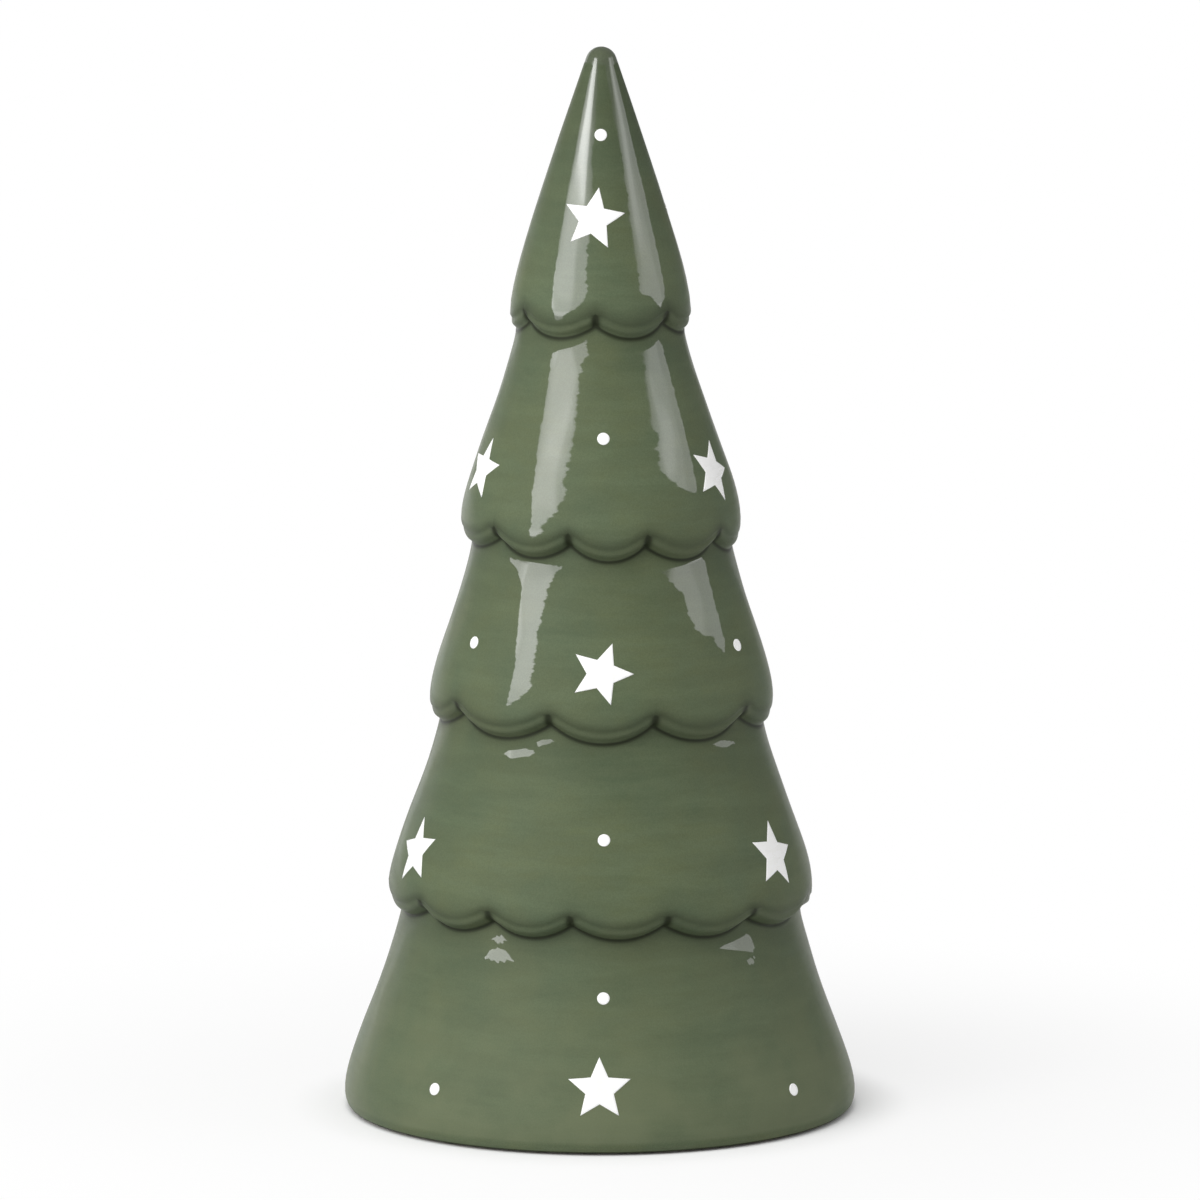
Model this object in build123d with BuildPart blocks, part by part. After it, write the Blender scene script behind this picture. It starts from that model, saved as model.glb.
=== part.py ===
"""Ceramic Christmas tree: one hollow glazed casting with five tiers, white star and dot transfers
fired on to the glaze, and felt pads under the foot. Millimetres, +Z up, front towards -Y.
The origin is on the table, under the tip."""

import os
from math import cos, degrees, radians, sin
from typing import NamedTuple

from build123d import *

os.makedirs("parts", exist_ok=True)

# Whole casting: the hollow ends at apex_radius, and the spine joins the scallops of the solid top
tip_radius = 4.5
tip_lean = 19.0
wall = 5.0
apex_radius = 3.0
spine_radius = 2.0
front = -90.0

# Crown, the top tier. A height runs from a tier's hem to the next hem up, or to the tip
crown_height = 82.0
crown_hem_radius = 22.8
crown_overhang = 0.6
crown_scallops = 7
crown_notch_rise = 5.2
crown_notch_turn = -4.0

# Upper tier. An overhang is how far a hem's end stands outside the neck behind it
upper_height = 60.5
upper_hem_radius = 36.7
upper_overhang = 1.5
upper_scallops = 10
upper_notch_rise = 4.6
upper_notch_turn = -14.7

# Middle tier
middle_height = 51.0
middle_hem_radius = 46.1
middle_overhang = 1.6
middle_scallops = 9
middle_notch_rise = 6.0
middle_notch_turn = 20.0

# Lower tier
lower_height = 54.5
lower_hem_radius = 58.0
lower_overhang = 2.9
lower_scallops = 14
lower_notch_rise = 5.5
lower_notch_turn = -6.4

# Base tier, with a plain rounded foot; its height runs from the table
base_height = 57.0
foot_radius = 72.0
foot_round = 0.9

# Shape of the skirts: a lean is an angle from upright, a hold is the share of a skirt's height
# over which its curve keeps to that lean
neck_tuck = 8.0
neck_lean = 11.0
neck_hold = 0.52
crown_neck_hold = 0.94
hem_lean = 45.0
hem_hold = 0.21
crown_hem_hold = 0.093
foot_lean = 40.0
foot_hold = 0.146
hem_spare = 0.5
lip_radius = 2.8

# Underside
foot_clearance = 0.5
foot_ring_width = 9.0
recess_depth = 1.5
floor_thickness = 5.0
drain_radius = 5.0
pad_radius = 6.0
pad_inset = 11.0
pad_count = 4
pad_edge = 0.3

# Transfers: a rise is measured up the skirt from the lower end of its curve
film = 0.3
film_seat = 0.2
star_radius = 9.2
large_star_radius = 9.9
star_waist = 0.456
star_points = 5
dot_radius = 1.75
crown_star_rise = 37.3
crown_dot_rise = 61.5
upper_star_rise = 25.5
upper_dot_rise = 37.4
middle_star_rise = 22.7
middle_dot_rise = 28.2
lower_star_rise = 22.8
lower_dot_rise = 31.9
base_star_rise = 18.8
base_high_dot_rise = 44.6
base_low_dot_rise = 14.5


class Tier(NamedTuple):
    """One tier: the control points of its skirt curve, from hem to neck, and its scalloped hem."""

    name: str
    curve: list
    hem_level: float
    core_radius: float = 0.0
    scallops: int = 0
    notch_rise: float = 0.0
    notch_turn: float = 0.0


def leaning(lean, length):
    """Radius and height gained along a line of this length that leans out from upright."""
    return length * sin(radians(lean)), length * cos(radians(lean))


def skirt(hem, lean_in, hold_in, neck, lean_out, hold_out):
    """Control points of a skirt that curls in at the hem and flares out below the neck."""
    height = neck[1] - hem[1]
    hem_out, hem_up = leaning(lean_in, hold_in * height)
    neck_out, neck_down = leaning(lean_out, hold_out * height)
    return [
        hem,
        (hem[0] + hem_out, hem[1] + hem_up),
        (neck[0] + neck_out, neck[1] - neck_down),
        neck,
    ]


def tucked_tier(name, hem_level, hem_radius, hem_above, neck_radius, scallops, rise, turn):
    """A tier with a scalloped hem, whose neck is tucked up behind the hem above it."""
    curve = skirt(
        (hem_radius, hem_level - hem_spare), hem_lean, hem_hold,
        (neck_radius, hem_above + neck_tuck), neck_lean, neck_hold,
    )
    return Tier(name, curve, hem_level, neck_radius - wall, scallops, rise, turn)


def point_at(curve, share):
    """Radius and level at a share of the way along a cubic curve."""
    rest = 1 - share
    weights = (rest**3, 3 * rest**2 * share, 3 * rest * share**2, share**3)
    radius = sum(weight * point[0] for weight, point in zip(weights, curve))
    level = sum(weight * point[1] for weight, point in zip(weights, curve))
    return radius, level


def belly(curve):
    """Radius and level of the widest point of a skirt."""
    return max(point_at(curve, step / 200) for step in range(201))


def highest_where(curve, inside):
    """The last point up a skirt, found by halving, that still passes the test called inside."""
    low = 0.0
    high = 1.0
    for _ in range(40):
        middle_share = (low + high) / 2
        if inside(*point_at(curve, middle_share)):
            low = middle_share
        else:
            high = middle_share
    return point_at(curve, low)


def meridian(angle):
    """Upright plane through the axis, with its x direction outwards at this angle."""
    outwards = (cos(radians(angle)), sin(radians(angle)), 0)
    across = (sin(radians(angle)), -cos(radians(angle)), 0)
    return Plane((0, 0, 0), x_dir=outwards, z_dir=across)


# Places that the pieces share
lower_hem_level = base_height
middle_hem_level = lower_hem_level + lower_height
upper_hem_level = middle_hem_level + middle_height
crown_hem_level = upper_hem_level + upper_height
tree_height = crown_hem_level + crown_height
upper_neck_radius = crown_hem_radius - crown_overhang
middle_neck_radius = upper_hem_radius - upper_overhang
lower_neck_radius = middle_hem_radius - middle_overhang
base_neck_radius = lower_hem_radius - lower_overhang
tip_centre = tree_height - tip_radius
tip_out, tip_up = leaning(90 - tip_lean, tip_radius)
tip_edge = (tip_out, tip_centre + tip_up)
foot_level = foot_clearance
floor_under = foot_clearance + recess_depth
floor_top = floor_under + floor_thickness
recess_radius = foot_radius - foot_ring_width
pad_ring_radius = recess_radius - pad_inset

crown = Tier(
    "crown",
    skirt(
        (crown_hem_radius, crown_hem_level - hem_spare), hem_lean, crown_hem_hold,
        tip_edge, tip_lean, crown_neck_hold,
    ),
    crown_hem_level, spine_radius, crown_scallops, crown_notch_rise, crown_notch_turn,
)
upper = tucked_tier(
    "upper", upper_hem_level, upper_hem_radius, crown_hem_level, upper_neck_radius,
    upper_scallops, upper_notch_rise, upper_notch_turn,
)
middle = tucked_tier(
    "middle", middle_hem_level, middle_hem_radius, upper_hem_level, middle_neck_radius,
    middle_scallops, middle_notch_rise, middle_notch_turn,
)
lower = tucked_tier(
    "lower", lower_hem_level, lower_hem_radius, middle_hem_level, lower_neck_radius,
    lower_scallops, lower_notch_rise, lower_notch_turn,
)
base = Tier(
    "base",
    skirt(
        (foot_radius, foot_level), foot_lean, foot_hold,
        (base_neck_radius, lower_hem_level + neck_tuck), neck_lean, neck_hold,
    ),
    foot_level,
)
scalloped_tiers = [crown, upper, middle, lower]


def scallop(tier):
    """One scallop: a sector of the skirt, trimmed below an arc and rounded along that hem."""
    half_angle = 180 / tier.scallops
    hem_end = tier.curve[0]
    neck = tier.curve[-1]
    reach = belly(tier.curve)[0] + hem_spare
    half_width = reach * sin(radians(half_angle))
    notch_level = tier.hem_level + tier.notch_rise
    below = hem_end[1] - hem_spare
    with BuildPart() as sector:
        with BuildSketch(meridian(-half_angle)):
            with BuildLine():
                Bezier(*tier.curve)
                Polyline(neck, (tier.core_radius, neck[1]), (tier.core_radius, hem_end[1]), hem_end)
            make_face()
        revolve(axis=Axis.Z, revolution_arc=2 * half_angle)
        with BuildSketch(Plane.YZ):
            with BuildLine():
                hem = ThreePointArc(
                    (-half_width, notch_level), (0, tier.hem_level), (half_width, notch_level)
                )
                Polyline(hem @ 1, (half_width, below), (-half_width, below), hem @ 0)
            make_face()
        extrude(amount=reach, mode=Mode.SUBTRACT)
        hem_edge = sector.edges().sort_by(Axis.Z)[:2].sort_by(Axis.X)[-1]
        fillet(hem_edge, lip_radius)
    return sector.part


def cavity_outline():
    """Half section of the hollow: a wall's thickness inside each belly and each neck."""
    apex = highest_where(crown.curve, lambda radius, level: radius > wall + apex_radius)
    foot = highest_where(base.curve, lambda radius, level: level < floor_top)
    outline = [(0, apex[1]), (apex[0] - wall, apex[1])]
    for above, below in zip(scalloped_tiers, scalloped_tiers[1:] + [base]):
        widest = belly(above.curve)
        exposed = highest_where(below.curve, lambda radius, level: level < above.hem_level)
        outline.append((widest[0] - wall, widest[1]))
        outline.append((exposed[0] - wall, exposed[1]))
    return outline + [(foot[0] - wall, floor_top), (0, floor_top)]


scallop_shapes = [scallop(tier) for tier in scalloped_tiers]
cavity = cavity_outline()
spine_end = cavity[0][1] - spine_radius

with BuildPart() as tree_body:
    with BuildSketch(Plane.XZ):
        with BuildLine():
            Bezier(*base.curve)
            Polyline(
                base.curve[-1], (0, base.curve[-1][1]), (0, floor_under),
                (recess_radius - recess_depth, floor_under), (recess_radius, foot_level), base.curve[0],
            )
        make_face()
    revolve(axis=Axis.Z)
    foot_edges = tree_body.edges().filter_by(GeomType.CIRCLE).group_by(Axis.Z)[0]
    fillet(foot_edges, foot_round)
    for tier, shape in zip(scalloped_tiers, scallop_shapes):
        first_scallop = front + tier.notch_turn + 180 / tier.scallops
        with PolarLocations(0, tier.scallops, start_angle=first_scallop):
            add(shape)
    with BuildSketch(Plane.XZ):
        with BuildLine():
            CenterArc((0, tip_centre), tip_radius, tip_lean, 90 - tip_lean)
            Polyline(
                tip_edge, (spine_radius, tip_edge[1]), (spine_radius, spine_end),
                (0, spine_end), (0, tree_height),
            )
        make_face()
    revolve(axis=Axis.Z)
    with BuildSketch(Plane.XZ):
        with BuildLine():
            Polyline(*cavity, close=True)
        make_face()
    revolve(axis=Axis.Z, mode=Mode.SUBTRACT)
    with Locations((0, 0, floor_top)):
        Hole(drain_radius, depth=floor_thickness + recess_depth)
tree_body.part.label = "tree_body"
export_step(tree_body.part, "parts/tree_body.step")

for number in range(pad_count):
    with BuildPart() as pad:
        with BuildSketch():
            with PolarLocations(pad_ring_radius, 1, start_angle=(number + 0.5) * 360 / pad_count):
                Circle(pad_radius)
        extrude(amount=floor_under)
        chamfer(pad.edges().group_by(Axis.Z)[0], pad_edge)
    pad.part.label = f"foot_pad_{number + 1}"
    export_step(pad.part, f"parts/{pad.part.label}.step")


def star_outline(radius):
    """Corners of a star, tips and waists in turn, with one tip straight up."""
    step = 180 / star_points
    corners = []
    for corner in range(2 * star_points):
        reach = star_waist * radius if corner % 2 else radius
        corners.append(leaning(corner * step, reach))
    return corners


def facing_plane(tier, rise):
    """Plane on a tier's skirt at a rise, square to the surface, with its y direction up the skirt."""
    edge = Edge.make_bezier(*[(radius, 0, level) for radius, level in tier.curve])
    place = edge.position_at(rise, position_mode=PositionMode.LENGTH)
    along = edge.tangent_at(rise, position_mode=PositionMode.LENGTH)
    return Plane((place.X, 0, place.Z), x_dir=(0, 1, 0), z_dir=(along.Z, 0, -along.X))


def write_transfer(part, label, angle):
    """Turn a finished transfer to its place round the tree and write it."""
    placed = part.rotate(Axis.Z, front + angle)
    placed.label = label
    export_step(placed, f"parts/{label}.step")


def star_transfer(label, tier, radius, rise, angle, tilt):
    """A film on the skirt, cut to a star pressed on square to the surface at its middle.
    The tilt turns the star clockwise, seen from outside."""
    facing = facing_plane(tier, rise)
    spread = degrees(2 * radius / facing.origin.X)
    inside = [(radius + film_seat, level) for radius, level in tier.curve]
    outside = [(radius + film, level) for radius, level in inside]
    with BuildPart() as skin:
        with BuildSketch(meridian(-spread)):
            with BuildLine():
                inner = Bezier(*inside)
                outer = Bezier(*outside)
                Line(inner @ 0, outer @ 0)
                Line(inner @ 1, outer @ 1)
            make_face()
        revolve(axis=Axis.Z, revolution_arc=2 * spread)
        with BuildSketch(facing.rotated((0, 0, -tilt))):
            Polygon(*star_outline(radius), align=None)
        extrude(amount=radius, both=True, mode=Mode.INTERSECT)
    write_transfer(skin.part, label, angle)


def dot_transfer(label, tier, rise, angle):
    """A round dab, so small that it lies flat on the skirt."""
    with BuildPart() as dab:
        with BuildSketch(facing_plane(tier, rise).offset(film_seat)):
            Circle(dot_radius)
        extrude(amount=film)
    write_transfer(dab.part, label, angle)


# Angles run anticlockwise from the front, seen from above. A star's place is an angle and a tilt,
# a dot's place an angle and how far it was set above its row
star_rows = [
    (crown, star_radius, crown_star_rise, [(-6, 8), (114, -10), (234, 12)]),
    (upper, star_radius, upper_star_rise, [(-69, 4), (61, 20), (178, -12)]),
    (middle, star_radius, middle_star_rise, [(0, 19), (120, -8), (240, 6)]),
    (lower, large_star_radius, lower_star_rise, [(-65, -13), (57.5, 13), (178, 5)]),
    (base, star_radius, base_star_rise, [(0, 0), (120, 10), (240, -6)]),
]
dot_rows = [
    (crown, "", crown_dot_rise, [(0, 0), (120, 0), (240, 0)]),
    (upper, "", upper_dot_rise, [(1, 0), (121, 0), (240, 0)]),
    (middle, "", middle_dot_rise, [(-54, 0.6), (59, -0.7), (180, 0)]),
    (lower, "", lower_dot_rise, [(1, 0), (121, 0), (240, 0)]),
    (base, "_high", base_high_dot_rise, [(1, 0), (120, 0), (240, 0)]),
    (base, "_low", base_low_dot_rise, [(-41, 0.8), (50, -1.0), (180, 0)]),
]
for tier, radius, rise, places in star_rows:
    for number, (angle, tilt) in enumerate(places, start=1):
        star_transfer(f"star_{tier.name}_{number}", tier, radius, rise, angle, tilt)
for tier, row, rise, places in dot_rows:
    for number, (angle, lift) in enumerate(places, start=1):
        dot_transfer(f"dot_{tier.name}{row}_{number}", tier, rise + lift, angle)
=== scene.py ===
"""A glazed ceramic tree with scalloped tiers and white transfers, on a pale studio floor.
Sizes are millimetres and are turned into metres as each mesh is written. Angles are degrees from the
front, which faces -Y, and run towards +X."""
from typing import NamedTuple

import bpy
import numpy as np
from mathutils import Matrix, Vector


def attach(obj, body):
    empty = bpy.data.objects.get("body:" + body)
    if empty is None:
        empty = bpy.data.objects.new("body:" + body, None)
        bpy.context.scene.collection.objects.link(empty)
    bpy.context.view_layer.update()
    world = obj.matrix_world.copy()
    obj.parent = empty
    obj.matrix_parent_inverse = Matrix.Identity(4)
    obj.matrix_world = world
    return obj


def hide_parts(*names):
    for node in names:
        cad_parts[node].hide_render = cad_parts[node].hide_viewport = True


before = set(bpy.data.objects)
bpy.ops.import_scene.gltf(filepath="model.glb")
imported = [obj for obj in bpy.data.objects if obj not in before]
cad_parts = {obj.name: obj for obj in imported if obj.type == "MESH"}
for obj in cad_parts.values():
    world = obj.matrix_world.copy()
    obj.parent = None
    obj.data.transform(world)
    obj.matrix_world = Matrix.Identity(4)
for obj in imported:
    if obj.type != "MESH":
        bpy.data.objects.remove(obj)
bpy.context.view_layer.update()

MM = 0.001
FRONT = -90.0

# Grid of the casting: columns lie closer at the front, rows closer near both ends of each skirt
COLUMNS = 430
FRONT_CROWDING = 0.42
TIP_ROWS = 7
BAND_ROWS = 16
ROWS_DONE = (0.0, 0.45, 0.72, 1.0)
WAY_DOWN = (0.0, 0.21, 0.72, 1.0)
CURVE_POINTS = 600
EDGE_STEPS = 3
FOOT_STEPS = 5

# Casting, from the tip down
TIP_RADIUS = 4.5
TIP_LEAN = 19.0
TIP_LEVEL = 305.0
CROWN_HEM = 223.0
UPPER_HEM = 162.5
MIDDLE_HEM = 111.5
LOWER_HEM = 57.0
WALL = 5.0
HOLLOW_TOP_LEVEL = 288.0
HOLLOW_TOP_RADIUS = 3.0

# Foot, recess and drain hole
FOOT_RADIUS = 72.0
FOOT_ROUND = 0.9
FOOT_SKIRT_END = 4.0
FOOT_ROUND_START = 1.6
FOOT_RING_WIDTH = 9.0
FOOT_LEVEL = 0.5
RING_ROUND = 0.5
RECESS_LEVEL = 2.0
RECESS_RIM = 6.0
INSIDE_LEVEL = 7.0
INSIDE_RIM = 10.0
DRAIN_RADIUS = 5.0
DRAIN_ROUND = 0.6
DRAIN_RIM = 8.0

# Skirts: a lean is an angle from upright, a hold is the share of the height that keeps to it
SKIRT_LEANS = (45.0, 11.0)
SKIRT_HOLDS = (0.21, 0.52)
NECK_TUCK = 8.0
NECK_FALL = 2.0
HEM_SPARE = 0.5

# Band along a hem; places and widths on it are shares of the way down
BAND_HEIGHT = 4.6
BAND_LEAN = 16.0
BAND_FULLNESS = 0.74
BEAD_HEIGHT = 0.40
BEAD_PLACE = 0.44
BEAD_WIDTH = 0.18
GROOVE_DEPTH = 0.20
GROOVE_PLACE = 0.13
GROOVE_WIDTH = 0.12
LIP_PLACE = 0.30
LIP_WIDTH = 0.13
CREASE_DEPTH = 0.8
CREASE_ROUND = 0.4
CREASE_PLACE = 0.70
CREASE_WIDTH = 0.22
NOTCH_ROUND = 0.5
NOTCH_WIDTH = 1.2
NOTCH_DIP = 1.5
NOTCH_DIP_WIDTH = 2.0

# Glaze: darkening is a share of the darkest tone, paling of the palest, and both fade over a reach in
# millimetres; the darkening is partly pooled glaze and partly painted shade, the paling partly thinning
# glaze and partly painted light
RUN_HEIGHT = 0.45
RUN_REACH = 2.2
# Painted shade, with some pooled glaze, in a narrow dark line just under each hem
HEM_POOL_AND_SHADE = 0.65
HEM_REACH = 0.5
# Painted shade down the top of each skirt, under the hem above
SHADE_POOL = 0.27
SHADE_REACH = 12.0
# Painted shade on the skirt just above a band's groove, where the belly turns under
GROOVE_SHADE = 0.40
GROOVE_REACH = 1.8
# Painted shade round each notch
NOTCH_SHADE = 0.28
NOTCH_SHADE_WIDTH = 2.8
NOTCH_SHADE_REACH = 1.6
# Painted shade over each band, which faces down, and more along its groove; in the crease under it and in
# the notches, painted shade with some pooled glaze
BAND_SHADE = 0.30
BAND_TOP_SHADE = 0.14
BAND_TOP_WIDTH = 0.14
CREASE_POOL_AND_SHADE = 0.9
NOTCH_POOL_AND_SHADE = 0.45
NOTCH_POOL_AND_SHADE_WIDTH = 0.4
# Darker towards the tip
TIP_DARKENING = 0.34
TIP_DARKENING_LEVEL = 238.0
TIP_DARKENING_REACH = 50.0
# Painted contact shadow on the foot's edge just above the table
FOOT_SHADE = 0.8
SHADED_BELOW = 1.2
UNGLAZED_BELOW = 0.52
# A pale line along each band's bead: partly glaze that thins there, partly a painted highlight
LIP_THIN_AND_HIGHLIGHT = 0.4
# Painted light on the base, which is paler all over and more so towards the foot
BASE_PAINTED_LIGHT = 0.4
FOOT_PAINTED_LIGHT = 0.8
FOOT_LIGHT_LEVEL = 45.0
FOOT_LIGHT_REACH = 35.0

# Gloss: how far a point lies inside a streak, and the faint sheen over the sides and the back
SATIN = -40.0
GLOSSY = 40.0
CLEAN_EDGE = 2.5
BAND_GLOSS_DROP = 4.0
SIDE_GLOSS = 0.22
LEFT_SHEEN_ANGLE = -56.0
LEFT_SHEEN_SPREAD = 28.0
RIGHT_SHEEN_ANGLE = 68.0
RIGHT_SHEEN_SPREAD = 20.0
BACK_GLOSS = 0.20
BACK_SHEEN_ANGLE = 90.0
BACK_SHEEN_SPREAD = 60.0

# Transfers and pads
FILM = 0.10
FILM_EDGE = 0.03
FILM_SINK = 0.12
STAR_RADIUS = 9.2
LARGE_STAR_RADIUS = 9.9
STAR_WAIST = 0.456
STAR_POINTS = 5
STAR_SIDE_STEPS = 8
STAR_RINGS = 9
DOT_RADIUS = 1.75
DOT_STEPS = 40
DOT_RINGS = 4
PAD_COUNT = 4
PAD_RADIUS = 6.0
PAD_RING = 52.0
PAD_STEPS = 64
PAD_SHOULDER = (0.3, 0.4)
PAD_RIM = 0.6
PAD_RIM_STEPS = 4
# Fuzz of a pad's rim: share of the radius, waves round it, start
PAD_FUZZ = ((0.006, 17, 0.0), (0.004, 29, 1.0))


class Streak(NamedTuple):
    """Outline of a glossy streak: levels from low to high, with the angles of its left and right
    edges at each. It ends where its edges cross."""

    levels: tuple
    lefts: tuple
    rights: tuple


class Tier(NamedTuple):
    """One tier: its skirt curve, the rows down it, the scallops of its hem, and the glossy streaks of
    its front, whose edges are cleaner the larger the number called clean."""

    name: str
    hem_level: float
    hem_radius: float
    neck_level: float
    neck_radius: float
    skirt_rows: int
    leans: tuple = SKIRT_LEANS
    holds: tuple = SKIRT_HOLDS
    notches: tuple = ()
    notch_rise: float = 0.0
    lobe_rise: float = 0.0
    hem_tilt: float = 0.0
    side_droop: float = 0.0
    clean: float = 1.0
    streaks: tuple = ()


def tip_joint():
    """Radius and level where the round tip meets the crown's skirt."""
    lean = np.radians(TIP_LEAN)
    centre = TIP_LEVEL - TIP_RADIUS
    return TIP_RADIUS * np.cos(lean), centre + TIP_RADIUS * np.sin(lean)


TIP_JOINT_RADIUS, TIP_JOINT_LEVEL = tip_joint()

CROWN = Tier(
    name="crown",
    hem_level=CROWN_HEM,
    hem_radius=22.8,
    neck_level=TIP_JOINT_LEVEL,
    neck_radius=TIP_JOINT_RADIUS,
    skirt_rows=18,
    leans=(45.0, TIP_LEAN),
    holds=(0.093, 0.94),
    notches=(-59, -3.5, 48, 100, 151, 202, 251),
    notch_rise=5.2,
    lobe_rise=1.3,
    clean=5.0,
    streaks=(
        Streak(
            levels=(228, 230, 232, 236, 262, 296, 301),
            lefts=(-28, -31, -33, -34, -34, -34, -28),
            rights=(-36, -27, -18, -9, -8.5, -8, -10),
        ),
        Streak(
            levels=(233, 236, 272, 290, 299),
            lefts=(48, 28, 26, 21, 14),
            rights=(40, 47, 48, 48, 46),
        ),
    ),
)
UPPER = Tier(
    name="upper",
    hem_level=UPPER_HEM,
    hem_radius=36.7,
    neck_level=CROWN_HEM + NECK_TUCK,
    neck_radius=22.2,
    skirt_rows=25,
    notches=(-50, -14, 19.5, 58, 96, 129, 162, 195, 228, 262),
    notch_rise=4.8,
    lobe_rise=0.4,
    hem_tilt=0.020,
    streaks=(
        Streak(
            levels=(168, 171.3, 174, 177, 180, 188, 196, 212.5, 218, 220.7, 222, 224.5),
            lefts=(-29, -31, -30.5, -30.5, -31, -31, -32, -33.5, -34, -34, -20, -9),
            rights=(-34, -25, -23, -19, -17, -16, -15, -15, -13, -9, -9, -11),
        ),
        Streak(
            levels=(179.5, 181.5, 184.8, 188, 198, 220.5, 222, 224),
            lefts=(52, 42, 31, 28, 28, 27, 34, 44),
            rights=(44, 46, 46, 47, 47, 47, 47, 42),
        ),
    ),
)
MIDDLE = Tier(
    name="middle",
    hem_level=MIDDLE_HEM,
    hem_radius=46.1,
    neck_level=UPPER_HEM + NECK_TUCK,
    neck_radius=35.2,
    skirt_rows=25,
    notches=(-57.5, -18, 18.5, 57, 99, 140, 180, 220, 261),
    notch_rise=6.0,
    lobe_rise=0.9,
    hem_tilt=0.012,
    streaks=(
        Streak(
            levels=(121, 122.6, 125.3, 128, 133, 140, 152, 155, 157.4, 160, 161.6, 162.8),
            lefts=(-33, -34, -33, -33, -32.5, -33.5, -34.5, -35, -36.5, -39, -43, -46),
            rights=(-36, -32, -28, -25, -25, -24.5, -24, -23.5, -22, -19.5, -15.5, -48),
        ),
        Streak(
            levels=(135.3, 136.5, 138, 140.7, 141.5, 143.2, 147, 152.4, 156.5, 159.9, 161.2, 162.6),
            lefts=(52.5, 50, 47, 46, 42, 38.5, 37.5, 37, 32, 26.5, 38, 50),
            rights=(50, 52, 52, 52, 52, 52, 52, 51.7, 51.4, 51.2, 51, 49),
        ),
        Streak(levels=(163.4, 164.4, 165.6), lefts=(-47, -50, -50), rights=(-50, -46.5, -53)),
    ),
)
LOWER = Tier(
    name="lower",
    hem_level=LOWER_HEM,
    hem_radius=58.0,
    neck_level=MIDDLE_HEM + NECK_TUCK,
    neck_radius=44.5,
    skirt_rows=26,
    notches=(-58, -31.5, -8, 18.5, 46.5, 80, 106, 129, 152, 176, 199, 222, 245, 269),
    notch_rise=5.5,
    lobe_rise=1.4,
    hem_tilt=0.010,
    side_droop=1.0,
    clean=1.6,
    streaks=(
        Streak(
            levels=(107.6, 108.2, 109.6, 110.4, 110.9),
            lefts=(-31, -36, -34, -29, -24),
            rights=(-34, -26, -23.5, -24, -28),
        ),
        Streak(
            levels=(111.4, 112.0, 113.2, 114.2),
            lefts=(-21, -24, -22, -17.5),
            rights=(-23.5, -19.5, -16.5, -20),
        ),
        Streak(levels=(108.8, 109.6, 110.6, 111.4), lefts=(52, 45, 43, 48), rights=(46, 54, 53, 46)),
    ),
)
BASE = Tier(
    name="base",
    hem_level=FOOT_LEVEL + HEM_SPARE,
    hem_radius=FOOT_RADIUS,
    neck_level=LOWER_HEM + NECK_TUCK,
    neck_radius=55.1,
    skirt_rows=28,
    leans=(40.0, 11.0),
    holds=(0.146, 0.52),
    clean=1.6,
    streaks=(
        Streak(
            levels=(51.2, 51.7, 53.2, 54.6, 55.4),
            lefts=(-28, -34.5, -33, -32, -28.5),
            rights=(-33, -24.5, -26, -27.5, -30.5),
        ),
        Streak(levels=(56.4, 57.0, 57.9, 58.6), lefts=(-29, -32.5, -32, -29), rights=(-31, -27, -27.5, -30)),
        Streak(
            levels=(51.6, 52.6, 53.6, 54.6, 55.4, 56.6, 57.2),
            lefts=(49, 44, 39, 34, 40, 46, 49),
            rights=(48, 49.5, 49.3, 49, 48.6, 48.2, 46),
        ),
        Streak(levels=(49.2, 49.6, 50.2, 50.6), lefts=(47, 44, 45, 48), rights=(46, 48.5, 49, 47)),
    ),
)
TIERS = (CROWN, UPPER, MIDDLE, LOWER, BASE)


def skirt_curve(tier):
    """Radius and level along a tier's skirt, from hem to neck: a cubic curve that leaves the hem
    leaning out, and reaches the neck leaning in."""
    hem = np.array([tier.hem_radius, tier.hem_level - HEM_SPARE])
    neck = np.array([tier.neck_radius, tier.neck_level])
    height = neck[1] - hem[1]
    lean_in, lean_out = np.radians(tier.leans)
    pull_in, pull_out = np.array(tier.holds) * height
    low = hem + pull_in * np.array([np.sin(lean_in), np.cos(lean_in)])
    high = neck + pull_out * np.array([np.sin(lean_out), -np.cos(lean_out)])
    t = np.linspace(0.0, 1.0, CURVE_POINTS)[:, None]
    s = 1.0 - t
    return s**3 * hem + 3 * s**2 * t * low + 3 * s * t**2 * high + t**3 * neck


def skirt_radius(tier, level):
    """Radius of a tier's skirt at a level; above the neck it falls away quickly."""
    curve = skirt_curve(tier)
    radius = np.interp(level, curve[:, 1], curve[:, 0])
    return radius - NECK_FALL * np.maximum(level - tier.neck_level, 0.0)


# Waves of the hand-made surface: height, waves round the tree, climb per millimetre, start
WAVES = (
    (0.16, 3, 0.031, 0.4),
    (0.10, 5, -0.055, 2.1),
    (0.06, 8, 0.16, 0.0),
    (0.05, 11, -0.23, 1.0),
    (0.045, 13, 0.29, 3.7),
    (0.03, 17, -0.12, 5.2),
)
WAVES_START = 6.0
WAVES_GROW = 20.0
WAVES_END = 300.0
WAVES_FADE = 90.0

# The axis isn't quite straight: how far it lies to the right at some levels
AXIS_LEVELS = (0.0, 30.0, 85.0, 140.0, 195.0, 260.0, 305.0)
AXIS_OFFSETS = (0.0, -0.2, 0.15, 0.5, 0.4, 0.1, 0.35)


def unevenness(angle, level):
    """Hand-made waviness of the casting: a few slow waves that run round the tree and climb it. It
    dies away towards the foot and the tip."""
    total = 0.0
    for height, turns, climb, start in WAVES:
        total = total + height * np.sin(turns * np.radians(angle) + climb * level + start)
    above_foot = np.clip((level - WAVES_START) / WAVES_GROW, 0.0, 1.0)
    below_tip = np.clip((WAVES_END - level) / WAVES_FADE, 0.0, 1.0)
    return total * above_foot * below_tip


def sideways(level):
    """How far the axis lies to the right at a level, straight between the given levels."""
    return np.interp(level, AXIS_LEVELS, AXIS_OFFSETS)


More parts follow.
